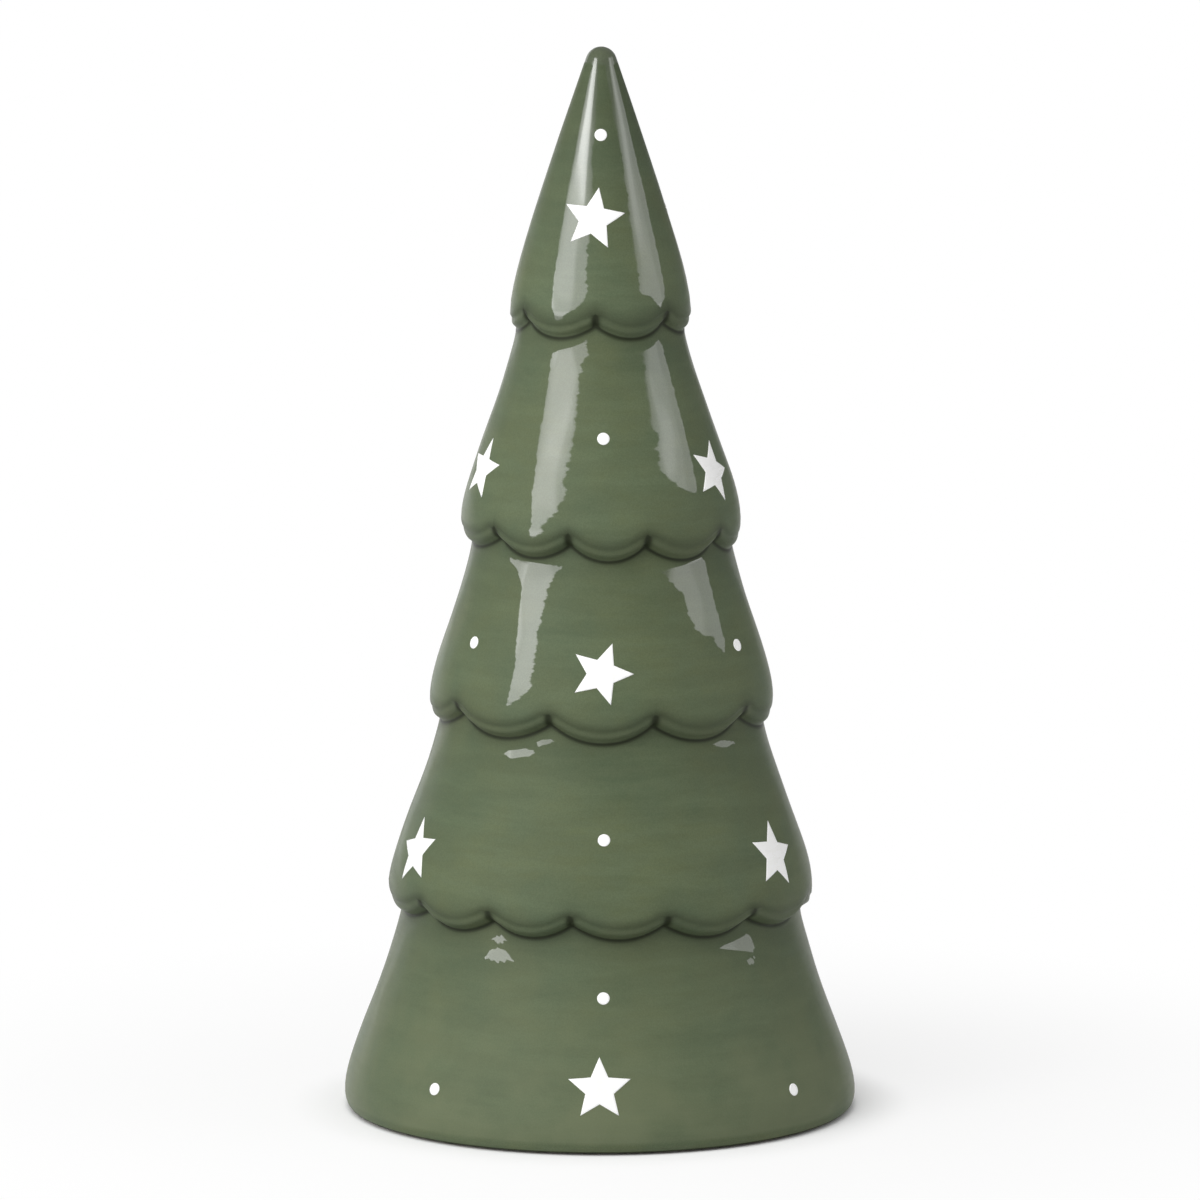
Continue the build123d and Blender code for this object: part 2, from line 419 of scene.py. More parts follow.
def hem_edge(tier, angle):
    """Level of a scalloped hem at each angle, how much the lip stretches up there because the hem
    slopes, and how near a notch is in millimetres. Between two notches the hem is an arc."""
    notches = np.array(tier.notches + (tier.notches[0] + 360,), float)
    turned = np.mod(angle - notches[0], 360.0) + notches[0]
    lobe = np.clip(np.searchsorted(notches, turned, side="right") - 1, 0, len(tier.notches) - 1)
    left, right = notches[lobe], notches[lobe + 1]
    reach = skirt_radius(tier, tier.hem_level + tier.notch_rise)
    half_width = np.radians(right - left) / 2 * reach
    across = (turned - (left + right) / 2) / (right - left) * 2
    to_notch = (1.0 - np.abs(across)) * half_width
    softened = half_width - np.sqrt(to_notch**2 + NOTCH_ROUND**2)
    arc_height = tier.notch_rise - tier.lobe_rise
    arc_radius = (half_width**2 + arc_height**2) / (2 * arc_height)
    arc = arc_radius - np.sqrt(arc_radius**2 - softened**2)
    slope = np.abs(across) * half_width / np.sqrt(arc_radius**2 - (across * half_width) ** 2)
    a = np.radians(angle)
    sag = tier.side_droop * np.sin(a) ** 2 + tier.hem_tilt * reach * np.sin(a)
    return tier.hem_level + tier.lobe_rise + arc - sag, np.sqrt(1.0 + slope**2), to_notch


def smooth(share):
    """A share kept between 0 and 1, with a gentle start and end."""
    kept = np.clip(share, 0.0, 1.0)
    return kept**2 * (3.0 - 2.0 * kept)


def fading(distance, reach):
    """1 at no distance, falling away over a reach."""
    return np.exp(-distance / reach)


def hump(place, width, centre=0.0):
    """1 at a centre, falling away on both sides over a width."""
    return np.exp(-(((place - centre) / width) ** 2))


def from_front(angle):
    """Angles from the front, left of it below zero."""
    return np.mod(angle + 180.0, 360.0) - 180.0


def soft_max(a, b, width):
    """The larger of two radii, with the corner between them rounded over a width."""
    return (a + b + np.sqrt((a - b) ** 2 + width**2)) / 2


class Rows:
    """Rows of the casting's grid, from the tip to the inside of the hollow, with their finish, which
    includes painted shade and painted light.
    """

    def __init__(self, angle):
        self.angle = angle
        self.radius, self.level = [], []
        self.finish = {"pool": [], "thin": [], "gloss": [], "bare": []}

    def add(self, radius, level, pool=0.0, thin=0.0, gloss=0.0, bare=0.0):
        """One more row. Each value is one number, or one per column."""
        flat = np.ones_like(self.angle)
        self.radius.append(radius * flat)
        self.level.append(level * flat)
        for name, value in (("pool", pool), ("thin", thin), ("gloss", gloss), ("bare", bare)):
            self.finish[name].append(value * flat)


def gloss_at(tier, angle, level):
    """Millimetres by which a point lies inside a glossy streak, below zero on the satin rest. The edge
    away from the front is the cleaner one."""
    turned = from_front(angle)
    inside = np.full_like(turned, SATIN)
    for levels, lefts, rights in tier.streaks:
        left, right = np.interp(level, levels, lefts), np.interp(level, levels, rights)
        clean_left, clean_right = (CLEAN_EDGE, 1.0) if lefts[0] < 0 else (1.0, CLEAN_EDGE)
        from_left, from_right = clean_left * (turned - left), clean_right * (right - turned)
        inside = np.maximum(inside, np.minimum(from_left, from_right))
    return np.radians(inside) * tier.neck_radius * tier.clean


def sheen_at(angle):
    """Weight of the faint gloss at each angle: none at the front, some on both sides, most at the back."""
    turned = from_front(angle)
    left = (LEFT_SHEEN_ANGLE - turned) / LEFT_SHEEN_SPREAD
    right = (turned - RIGHT_SHEEN_ANGLE) / RIGHT_SHEEN_SPREAD
    side = smooth(np.where(turned < 0.0, left, right))
    back = smooth((np.abs(turned) - BACK_SHEEN_ANGLE) / BACK_SHEEN_SPREAD)
    return SIDE_GLOSS * side + BACK_GLOSS * back


def glaze_run(drop):
    """Thickness of the glaze that gathers under a hem, dying away with the distance below it."""
    return RUN_HEIGHT * fading(np.maximum(drop, 0.0), RUN_REACH)


def darker_towards_tip(level):
    """Share by which the colour is darker towards the tip."""
    return TIP_DARKENING * np.clip((level - TIP_DARKENING_LEVEL) / TIP_DARKENING_REACH, 0.0, 1.0)


def band_top(edge, stretch, to_notch):
    """Level of the groove above a hem's band, which dips where two bands meet at a notch."""
    return edge + BAND_HEIGHT * stretch - NOTCH_DIP * hump(to_notch, NOTCH_DIP_WIDTH)


def add_skirt(rows, tier, hem_above, bottom, to_notch):
    """Rows down a skirt, from the hem above or the tip to a level that varies with the angle. Painted shade
    darkens it just under a hem, where glaze also pools, down its top, along the groove and above a notch,
    and on the base painted light makes it paler, most towards the foot."""
    top, stretch = hem_above
    under_hem = float(tier is not CROWN)
    above_band = float(tier is not BASE)
    for share in np.linspace(0.0, 1.0, tier.skirt_rows + 1)[1:]:
        level = top + (bottom - top) * np.interp(share, ROWS_DONE, WAY_DOWN)
        drop, climb = (top - level) / stretch, level - bottom
        radius = skirt_radius(tier, level) + unevenness(rows.angle, level) + under_hem * glaze_run(drop)
        # Painted shade: a dark line just under a hem with some pooled glaze, shade down the top of the
        # skirt, above the groove and round a notch
        pool = under_hem * (HEM_POOL_AND_SHADE * fading(drop, HEM_REACH) + SHADE_POOL * fading(drop, SHADE_REACH))
        pool = pool + darker_towards_tip(level) + above_band * GROOVE_SHADE * fading(climb, GROOVE_REACH)
        pool = pool + NOTCH_SHADE * hump(to_notch, NOTCH_SHADE_WIDTH) * fading(climb, NOTCH_SHADE_REACH)
        # Painted light: the base is made paler, most towards the foot
        towards_foot = smooth((FOOT_LIGHT_LEVEL - level) / FOOT_LIGHT_REACH)
        thin = (1.0 - above_band) * (BASE_PAINTED_LIGHT + FOOT_PAINTED_LIGHT * towards_foot)
        rows.add(radius, level, pool=pool, thin=thin, gloss=gloss_at(tier, rows.angle, level))


def add_band(rows, tier, below, edge, stretch, to_notch):
    """Rows of the rolled band along a hem: past a faint groove it swells into a soft bead, then curls
    under to the skirt below, where glaze gathers in a crease darkened further with painted shade. The
    band, which faces down, is darkened with painted shade, most along its groove and in the notches,
    and a pale line along the bead is partly glaze that thins there and partly a painted highlight. Two
    bands meet at each notch."""
    near_notch = hump(to_notch, NOTCH_WIDTH)
    ridge = band_top(edge, stretch, to_notch)
    ridge_radius = skirt_radius(tier, ridge)
    corner = ridge - BAND_FULLNESS * (ridge - edge)
    corner_radius = ridge_radius - np.tan(np.radians(BAND_LEAN)) * (ridge - corner)
    end_radius = skirt_radius(below, edge) - CREASE_DEPTH
    for t in np.linspace(0.0, 1.0, BAND_ROWS + 1)[1:]:
        s = 1.0 - t
        radius = s**2 * ridge_radius + 2 * s * t * corner_radius + t**2 * end_radius
        level = s**2 * ridge + 2 * s * t * corner + t**2 * edge
        swell = BEAD_HEIGHT * hump(t, BEAD_WIDTH, BEAD_PLACE)
        swell = swell - GROOVE_DEPTH * hump(t, GROOVE_WIDTH, GROOVE_PLACE)
        behind = skirt_radius(below, level) + RUN_HEIGHT
        radius = soft_max(radius + swell * (1.0 - near_notch), behind, CREASE_ROUND)
        # Painted shade over the band, along its groove, in the crease below and in the notches, with some
        # pooled glaze in the crease and notches
        pool = BAND_SHADE + BAND_TOP_SHADE * hump(t, BAND_TOP_WIDTH)
        pool = pool + CREASE_POOL_AND_SHADE * smooth((t - CREASE_PLACE) / CREASE_WIDTH)
        pool = pool + near_notch * np.clip(NOTCH_POOL_AND_SHADE + t / NOTCH_POOL_AND_SHADE_WIDTH, 0.0, 1.0)
        # A pale line along the bead: partly glaze that thins, partly a painted highlight
        rows.add(
            radius + unevenness(rows.angle, level),
            level,
            pool=np.clip(pool, 0.0, 1.0),
            thin=LIP_THIN_AND_HIGHLIGHT * hump(t, LIP_WIDTH, LIP_PLACE) * (1.0 - near_notch),
            gloss=gloss_at(tier, rows.angle, level - BAND_GLOSS_DROP * t),
        )


def rounded(start, corner, end, count):
    """Points on a short curve that rounds a corner of the section."""
    t = np.linspace(0.0, 1.0, count + 1)[:, None]
    start, corner, end = np.array(start), np.array(corner), np.array(end)
    return (1 - t) ** 2 * start + 2 * t * (1 - t) * corner + t**2 * end


def add_underside(rows):
    """Rows of the foot ring, the recess, the drain hole and the inside of the hollow."""
    ring_in = FOOT_RADIUS - FOOT_RING_WIDTH
    slope_top = ring_in - (RECESS_LEVEL - FOOT_LEVEL)
    ring_start = (ring_in + FOOT_ROUND, FOOT_LEVEL)
    ring_end = (ring_in - RING_ROUND, FOOT_LEVEL + RING_ROUND)
    drain_start = (DRAIN_RADIUS + DRAIN_ROUND, RECESS_LEVEL)
    drain_end = (DRAIN_RADIUS, RECESS_LEVEL + DRAIN_ROUND)
    section = np.vstack([
        rounded(ring_start, (ring_in, FOOT_LEVEL), ring_end, EDGE_STEPS),
        [(slope_top, RECESS_LEVEL), (slope_top - RECESS_RIM, RECESS_LEVEL)],
        [(DRAIN_RADIUS + DRAIN_RIM, RECESS_LEVEL)],
        rounded(drain_start, (DRAIN_RADIUS, RECESS_LEVEL), drain_end, EDGE_STEPS),
        [(DRAIN_RADIUS, INSIDE_LEVEL), (DRAIN_RADIUS + INSIDE_RIM, INSIDE_LEVEL)],
        [(float(skirt_radius(BASE, INSIDE_LEVEL)) - WALL, INSIDE_LEVEL)],
    ])
    for radius, level in section:
        rows.add(radius, level, bare=1.0)
    for above, below in ((LOWER, BASE), (MIDDLE, LOWER), (UPPER, MIDDLE), (CROWN, UPPER)):
        belly = skirt_curve(above)[np.argmax(skirt_curve(above)[:, 0])]
        rows.add(skirt_radius(below, above.hem_level) - WALL, above.hem_level, bare=1.0)
        rows.add(belly[0] - WALL, belly[1], bare=1.0)
    rows.add(HOLLOW_TOP_RADIUS, HOLLOW_TOP_LEVEL, bare=1.0)


def add_tip(rows):
    """Rows of the round tip, a ball that ends where the crown's skirt begins."""
    centre = TIP_LEVEL - TIP_RADIUS
    for turn in np.radians(np.linspace(0.0, 90.0 - TIP_LEAN, TIP_ROWS + 1)[1:]):
        radius, level = TIP_RADIUS * np.sin(turn), centre + TIP_RADIUS * np.cos(turn)
        rows.add(radius, level, pool=TIP_DARKENING, thin=np.cos(turn) ** 4, gloss=GLOSSY)


def add_foot(rows):
    """Rows of the foot's rounded edge, with a painted contact shadow just above the table, and unglazed
    beneath.
    """
    middle_level = (FOOT_SKIRT_END + FOOT_ROUND_START) / 2
    side = (float(skirt_radius(BASE, FOOT_ROUND_START)), FOOT_ROUND_START)
    foot = np.vstack([
        [(float(skirt_radius(BASE, middle_level)), middle_level)],
        rounded(side, (FOOT_RADIUS, FOOT_LEVEL), (FOOT_RADIUS - FOOT_ROUND, FOOT_LEVEL), FOOT_STEPS),
    ])
    for radius, level in foot:
        # Painted contact shadow on the edge just above the table
        bare, pool = float(level < UNGLAZED_BELOW), FOOT_SHADE * float(level < SHADED_BELOW)
        rows.add(radius, level, pool=pool, gloss=SATIN, bare=bare)


def casting_rows(angle):
    """All rows of the casting between its two closing points, the tip and the top of the hollow."""
    rows = Rows(angle)
    add_tip(rows)
    even = np.ones_like(angle)
    hem_above = (TIP_JOINT_LEVEL * even, even)
    for tier, below in zip(TIERS, TIERS[1:]):
        edge, stretch, to_notch = hem_edge(tier, angle)
        add_skirt(rows, tier, hem_above, band_top(edge, stretch, to_notch), to_notch)
        add_band(rows, tier, below, edge, stretch, to_notch)
        hem_above = (edge, stretch)
    add_skirt(rows, BASE, hem_above, FOOT_SKIRT_END * even, np.inf * even)
    add_foot(rows)
    add_underside(rows)
    return rows


def metres(radius, angle, level):
    """Points in the shared frame from radius, angle from the front and level."""
    a = np.radians(angle + FRONT)
    x = radius * np.cos(a) + sideways(level)
    return np.stack([x, radius * np.sin(a), level], axis=-1) * MM


def quads(rows, columns):
    """Corner numbers of the faces of a grid of rows that close on themselves, facing outwards."""
    row, column = np.meshgrid(np.arange(rows - 1), np.arange(columns), indexing="ij")
    here, there = row * columns + column, row * columns + (column + 1) % columns
    return np.stack([here, here + columns, there + columns, there], axis=-1).reshape(-1, 4)


def closed_piece(name, ring_points, first_pole, last_pole):
    """A piece from rings of points, closed by a fan at each end."""
    rows, columns, _ = ring_points.shape
    points = np.vstack([ring_points.reshape(-1, 3), first_pole, last_pole])
    first, last = rows * columns, rows * columns + 1
    near, far = np.arange(columns), (np.arange(columns) + 1) % columns
    bottom = (rows - 1) * columns
    fan_first = np.stack([np.full(columns, first), near, far], axis=-1)
    fan_last = np.stack([bottom + near, np.full(columns, last), bottom + far], axis=-1)
    faces = quads(rows, columns).tolist() + fan_first.tolist() + fan_last.tolist()
    mesh = bpy.data.meshes.new(name)
    mesh.from_pydata(points.tolist(), [], faces)
    mesh.polygons.foreach_set("use_smooth", np.ones(len(mesh.polygons), bool))
    mesh.update()
    piece = bpy.data.objects.new(name, mesh)
    bpy.context.scene.collection.objects.link(piece)
    return piece


def give_finish(piece, name, values):
    """Write one number per point, for the material to read by name."""
    layer = piece.data.attributes.new(name, "FLOAT", "POINT")
    layer.data.foreach_set("value", np.asarray(values, np.float32))


def glazed_casting():
    """The casting as one closed surface: radius as a function of the angle and of the row. Columns
    lie closer at the front."""
    turn = np.arange(COLUMNS) * 2 * np.pi / COLUMNS
    angle = np.degrees(turn - FRONT_CROWDING * np.sin(turn))
    rows = casting_rows(angle)
    radius, level = np.array(rows.radius), np.array(rows.level)
    ring_points = metres(radius, angle[None, :], level)
    tip = np.array([sideways(TIP_LEVEL), 0.0, TIP_LEVEL]) * MM
    hollow_top = np.array([0.0, 0.0, HOLLOW_TOP_LEVEL]) * MM
    piece = closed_piece("glazed_casting", ring_points, tip, hollow_top)
    rows.finish["sheen"] = [sheen_at(angle)] * len(radius)
    for name, values in rows.finish.items():
        ends = [values[0].mean(), values[-1].mean()]
        give_finish(piece, name, np.concatenate([np.array(values).ravel(), ends]))
    return piece


def star_outline(radius):
    """A star's outline, points along its straight sides, with one tip up."""
    corner = np.arange(2 * STAR_POINTS + 1)
    size = radius * np.where(corner % 2, STAR_WAIST, 1.0)
    turn = np.radians(180.0 / STAR_POINTS * corner)
    ends = np.stack([size * np.sin(turn), size * np.cos(turn)], axis=-1)
    share = (np.arange(STAR_SIDE_STEPS) / STAR_SIDE_STEPS)[None, :, None]
    return (ends[:-1, None] * (1 - share) + ends[1:, None] * share).reshape(-1, 2)


def dot_outline():
    """A dot's round outline."""
    turn = np.linspace(0.0, 2 * np.pi, DOT_STEPS, endpoint=False)
    return DOT_RADIUS * np.stack([np.sin(turn), np.cos(turn)], axis=-1)


def transfer(name, tier, rise, angle, tilt, outline, rings):
    """A fine film wrapped on a skirt: rings from its middle out to its outline, over its edge and
    back underneath. Across and up distances are laid off along the surface."""
    turn = np.radians(tilt)
    spun = outline @ np.array([[np.cos(turn), -np.sin(turn)], [np.sin(turn), np.cos(turn)]])
    curve = skirt_curve(tier)
    steps = np.hypot(*np.diff(curve, axis=0).T)
    length = np.concatenate([[0.0], np.cumsum(steps)])
    share = np.linspace(0.0, 1.0, rings + 1)[1:]
    shares = np.concatenate([share, [1.0], share[::-1]])
    lift = np.concatenate([np.full(rings, FILM), [FILM_EDGE], np.full(rings, -FILM_SINK)])

    def laid(share, lift):
        """Points at a share of the outline's size, lifted off the skirt."""
        flat = share * spun
        up = rise + flat[..., 1]
        radius = np.interp(up, length, curve[:, 0])
        level = np.interp(up, length, curve[:, 1])
        slope = np.interp(up, length, np.gradient(curve[:, 0], length))
        around = angle + np.degrees(flat[..., 0] / radius)
        radius = radius + unevenness(around, level)
        return metres(radius + lift * np.sqrt(1 - slope**2), around, level - lift * slope)

    ring_points = laid(shares[:, None, None], lift[:, None])
    middle = [laid(np.zeros((1, 1)), height)[0] for height in (FILM, -FILM_SINK)]
    return closed_piece(name, ring_points, middle[0], middle[1])


def felt_pad(number):
    """A felt disc under the foot: a section with a softly rounded rim, turned about its middle."""
    turn = np.linspace(0.0, 2 * np.pi, PAD_STEPS, endpoint=False)
    inset, drop = PAD_SHOULDER
    shoulder_start = (PAD_RADIUS - inset, RECESS_LEVEL)
    shoulder_end = (PAD_RADIUS, RECESS_LEVEL - drop)
    section = np.vstack([
        [(PAD_RADIUS / 2, RECESS_LEVEL)],
        rounded(shoulder_start, (PAD_RADIUS, RECESS_LEVEL), shoulder_end, EDGE_STEPS),
        rounded((PAD_RADIUS, PAD_RIM), (PAD_RADIUS, 0.0), (PAD_RADIUS - PAD_RIM, 0.0), PAD_RIM_STEPS),
        [(PAD_RADIUS / 2, 0.0)],
    ])
    place = np.radians((number - 0.5) * 360.0 / PAD_COUNT)
    centre = PAD_RING * np.array([np.cos(place), np.sin(place)])
    fuzz = 1.0 + sum(share * np.sin(turns * turn + start) for share, turns, start in PAD_FUZZ)
    radius = section[:, :1] * fuzz[None, :]
    x = centre[0] + radius * np.cos(turn)
    y = centre[1] + radius * np.sin(turn)
    z = np.repeat(section[:, 1:], len(turn), axis=1)
    ends = [np.array([*centre, level]) * MM for level in (RECESS_LEVEL, 0.0)]
    return closed_piece(f"felt_pad_{number}", np.stack([x, y, z], axis=-1) * MM, *ends)


def new_group(name, inputs, outputs):
    """An empty shader node group with number inputs and outputs."""
    group = bpy.data.node_groups.new(name, "ShaderNodeTree")
    for label, value in inputs:
        socket = group.interface.new_socket(label, in_out="INPUT", socket_type="NodeSocketFloat")
        socket.default_value = value
    for label in outputs:
        group.interface.new_socket(label, in_out="OUTPUT", socket_type="NodeSocketFloat")
    return group


class Nodes:
    """Short ways to add nodes to a tree and join them."""

    def __init__(self, tree):
        self.tree = tree

    def add(self, kind, **settings):
        """A new node with these settings."""
        node = self.tree.nodes.new(kind)
        for key, value in settings.items():
            setattr(node, key, value)
        return node

    def put(self, socket, value):
        """Join a socket to a value: another node's output, or a plain number or colour."""
        if isinstance(value, bpy.types.NodeSocket):
            self.tree.links.new(value, socket)
        else:
            socket.default_value = value

    def math(self, operation, a, b):
        """One step of arithmetic on two numbers."""
        node = self.add("ShaderNodeMath", operation=operation)
        self.put(node.inputs[0], a)
        self.put(node.inputs[1], b)
        return node.outputs[0]

    def spread(self, value, low, high, to_low=0.0, to_high=1.0):
        """A value between low and high, spread smoothly over another range and kept inside it."""
        node = self.add("ShaderNodeMapRange", clamp=True, interpolation_type="SMOOTHSTEP")
        for socket, number in zip(node.inputs, (value, low, high, to_low, to_high)):
            self.put(socket, number)
        return node.outputs[0]

    def noise(self, vector, scale, detail, roughness=0.5):
        """Cloudy noise at a place."""
        node = self.add("ShaderNodeTexNoise")
        self.put(node.inputs["Vector"], vector)
        self.put(node.inputs["Scale"], scale)
        self.put(node.inputs["Detail"], detail)
        self.put(node.inputs["Roughness"], roughness)
        return node.outputs["Fac"]

    def mix(self, share, a, b):
        """A colour between two: the first at a share of 0, the second at 1."""
        node = self.add("ShaderNodeMix", data_type="RGBA")
        for socket, value in zip((node.inputs[0], node.inputs[6], node.inputs[7]), (share, a, b)):
            self.put(socket, value)
        return node.outputs[2]

    def layer(self, name):
        """One of the finishes written on the mesh."""
        return self.add("ShaderNodeAttribute", attribute_name=name).outputs["Fac"]

    def bump(self, height, distance):
        """Fine relief as high as the distance where the height is 1."""
        node = self.add("ShaderNodeBump")
        self.put(node.inputs["Height"], height)
        self.put(node.inputs["Distance"], distance)
        self.put(node.inputs["Strength"], 1.0)
        return node.outputs["Normal"]


BROAD_SCALE = 0.37


def brushwork_group():
    """Marks of a hand-brushed coat: long strokes round the tree, cloudy patches and fine grain.
    Noise is squeezed upright, so that it runs round the piece; the inputs are marks per metre."""
    group = new_group(
        "brushwork",
        (("Around", 28.0), ("Upright", 420.0), ("Patches", 55.0), ("Grain", 2600.0)),
        ("Strokes", "Broad strokes", "Clouds", "Grain"),
    )
    nodes = Nodes(group)
    start = nodes.add("NodeGroupInput")
    end = nodes.add("NodeGroupOutput")
    place = nodes.add("ShaderNodeTexCoord").outputs["Object"]
    squeeze = nodes.add("ShaderNodeCombineXYZ")
    for socket, source in zip(squeeze.inputs, ("Around", "Around", "Upright")):
        nodes.put(socket, start.outputs[source])
    stretched = nodes.add("ShaderNodeVectorMath", operation="MULTIPLY")
    nodes.put(stretched.inputs[0], place)
    nodes.put(stretched.inputs[1], squeeze.outputs[0])
    broad = nodes.add("ShaderNodeVectorMath", operation="SCALE")
    nodes.put(broad.inputs[0], stretched.outputs[0])
    broad.inputs["Scale"].default_value = BROAD_SCALE
    nodes.put(end.inputs["Strokes"], nodes.noise(stretched.outputs[0], scale=1.0, detail=4.0, roughness=0.6))
    nodes.put(end.inputs["Broad strokes"], nodes.noise(broad.outputs[0], scale=1.0, detail=2.0))
    clouds = nodes.noise(place, start.outputs["Patches"], detail=3.0, roughness=0.55)
    nodes.put(end.inputs["Clouds"], clouds)
    nodes.put(end.inputs["Grain"], nodes.noise(place, start.outputs["Grain"], detail=2.0))
    return group


BRUSHWORK = brushwork_group()


def new_material(name):
    """A material with only a Principled shader, and the helper for its nodes."""
    material = bpy.data.materials.new(name)
    material.use_nodes = True
    return material, Nodes(material.node_tree), material.node_tree.nodes["Principled BSDF"]


def place_brushwork(nodes, **settings):
    """The brushwork group in a material, with that material's own values."""
    node = nodes.add("ShaderNodeGroup")
    node.node_tree = BRUSHWORK
    for label, value in settings.items():
        node.inputs[label].default_value = value
    return node.outputs


# Green glaze: colours, and the share of each that shows
GREEN_OLIVE = (0.132, 0.161, 0.082, 1.0)
GREEN_GREY = (0.112, 0.150, 0.084, 1.0)
GREEN_BRUSHED = (0.135, 0.170, 0.096, 1.0)
# Darkest tone: for the glaze's own grain and strokes, for pooled glaze, and for painted shade
GREEN_DARK_TONE_AND_SHADE = (0.020, 0.026, 0.011, 1.0)
# Palest tone: for glaze that thins, for painted light on the base and for a painted highlight along each
# bead
GREEN_THIN_AND_LIT = (0.165, 0.192, 0.112, 1.0)
BISQUE = (0.58, 0.54, 0.46, 1.0)
BISQUE_DARK = (0.50, 0.46, 0.39, 1.0)
BRUSHED_SHARE = 0.7
GRAIN_SHARE = 0.16
BROAD_SHARE = 0.10
THIN_AND_LIT_SHARES = (0.15, 0.55)
SATIN_ROUGHNESS = (0.54, 0.66)
BARE_ROUGHNESS = 0.85
BODY_SPECULAR = 0.2
COAT_ROUGHNESS = 0.13
COAT_IOR = 2.0
RAGGED_REACH = 4.0
RAGGED_STROKES = 0.9
RAGGED_MIDDLE = 0.95
RAGGED_EDGE = 0.3
STROKE_DEPTH = 0.00005


def green_glaze():
    """Sage glaze, brushed on by hand: cloudy, streaked, dark where it pools and pale where it thins, with
    painted shade under the hems, over the bands, in creases and notches and at the foot, a painted
    highlight along each bead and painted light on the base. A clear glossy coat lies over it in streaks
    with ragged edges, and thinly over the sides and back."""
    material, nodes, shader = new_material("green_glaze")
    marks = place_brushwork(nodes, Around=100.0, Upright=560.0, Patches=48.0)
    clouds = nodes.spread(marks["Clouds"], 0.32, 0.68)
    streaks = nodes.spread(marks["Strokes"], 0.30, 0.72)
    uneven = nodes.math("ADD", marks["Clouds"], nodes.math("MULTIPLY", marks["Strokes"], RAGGED_STROKES))
    ragged = nodes.math("MULTIPLY", nodes.math("SUBTRACT", uneven, RAGGED_MIDDLE), RAGGED_REACH)
    inside = nodes.math("ADD", nodes.layer("gloss"), ragged)
    glossy = nodes.spread(inside, -RAGGED_EDGE, RAGGED_EDGE)
    bare = nodes.layer("bare")
    covered = nodes.math("SUBTRACT", 1.0, bare)
    coat = nodes.math("MAXIMUM", glossy, nodes.layer("sheen"))
    nodes.put(shader.inputs["Coat Weight"], nodes.math("MULTIPLY", coat, covered))
    shader.inputs["Coat Roughness"].default_value = COAT_ROUGHNESS
    shader.inputs["Coat IOR"].default_value = COAT_IOR
    shader.inputs["Specular IOR Level"].default_value = BODY_SPECULAR
    colour = nodes.mix(clouds, GREEN_GREY, GREEN_OLIVE)
    colour = nodes.mix(nodes.math("MULTIPLY", streaks, BRUSHED_SHARE), colour, GREEN_BRUSHED)
    grain = nodes.spread(marks["Grain"], 0.3, 0.7, to_high=GRAIN_SHARE)
    colour = nodes.mix(grain, colour, GREEN_DARK_TONE_AND_SHADE)
    darker = nodes.spread(marks["Broad strokes"], 0.35, 0.62, to_high=BROAD_SHARE)
    colour = nodes.mix(darker, colour, GREEN_DARK_TONE_AND_SHADE)
    patchy = nodes.spread(marks["Clouds"], 0.25, 0.7, *THIN_AND_LIT_SHARES)
    # Paler where the glaze thins, with painted light on the base and a painted highlight along each bead
    colour = nodes.mix(nodes.math("MULTIPLY", nodes.layer("thin"), patchy), colour, GREEN_THIN_AND_LIT)
    # Darkest tone from the mesh: pooled glaze, and painted shade under hems, over bands, in creases and
    # notches and at the foot
    colour = nodes.mix(nodes.layer("pool"), colour, GREEN_DARK_TONE_AND_SHADE)
    colour = nodes.mix(bare, colour, nodes.mix(clouds, BISQUE, BISQUE_DARK))
    nodes.put(shader.inputs["Base Color"], colour)
    rough = nodes.spread(marks["Strokes"], 0.2, 0.8, *SATIN_ROUGHNESS)
    rough = nodes.math("MAXIMUM", rough, nodes.math("MULTIPLY", bare, BARE_ROUGHNESS))
    nodes.put(shader.inputs["Roughness"], rough)
    nodes.put(shader.inputs["Normal"], nodes.bump(marks["Strokes"], STROKE_DEPTH))
    return material


WHITE_DULL = (0.88, 0.88, 0.87, 1.0)
WHITE_PURE = (0.93, 0.93, 0.92, 1.0)
WHITE_ROUGHNESS = (0.22, 0.32)
# Painted light: a faint glow of the white print
WHITE_GLOW = 0.14
GLOW_COLOUR = (1.0, 1.0, 0.99, 1.0)
PRINT_DEPTH = 0.00001


def white_transfer():
    """White fired-on film: nearly pure, with a faint unevenness of the print. A trace of glow, painted light
    that the print doesn't give off, keeps it white on the shaded side."""
    material, nodes, shader = new_material("white_transfer")
    marks = place_brushwork(nodes, Around=60.0, Upright=300.0, Patches=160.0)
    tone = nodes.spread(marks["Clouds"], 0.3, 0.7)
    nodes.put(shader.inputs["Base Color"], nodes.mix(tone, WHITE_DULL, WHITE_PURE))
    shader.inputs["Emission Color"].default_value = GLOW_COLOUR
    shader.inputs["Emission Strength"].default_value = WHITE_GLOW
    nodes.put(shader.inputs["Roughness"], nodes.spread(marks["Strokes"], 0.3, 0.7, *WHITE_ROUGHNESS))
    nodes.put(shader.inputs["Normal"], nodes.bump(marks["Grain"], PRINT_DEPTH))
    return material


FELT_DARK = (0.10, 0.10, 0.095, 1.0)
FELT_PALE = (0.30, 0.30, 0.28, 1.0)
FELT_MIDDLE = (0.2, 0.2, 0.19, 1.0)
FELT_ROUGHNESS = (0.85, 1.0)
NAP_DEPTH = 0.0004


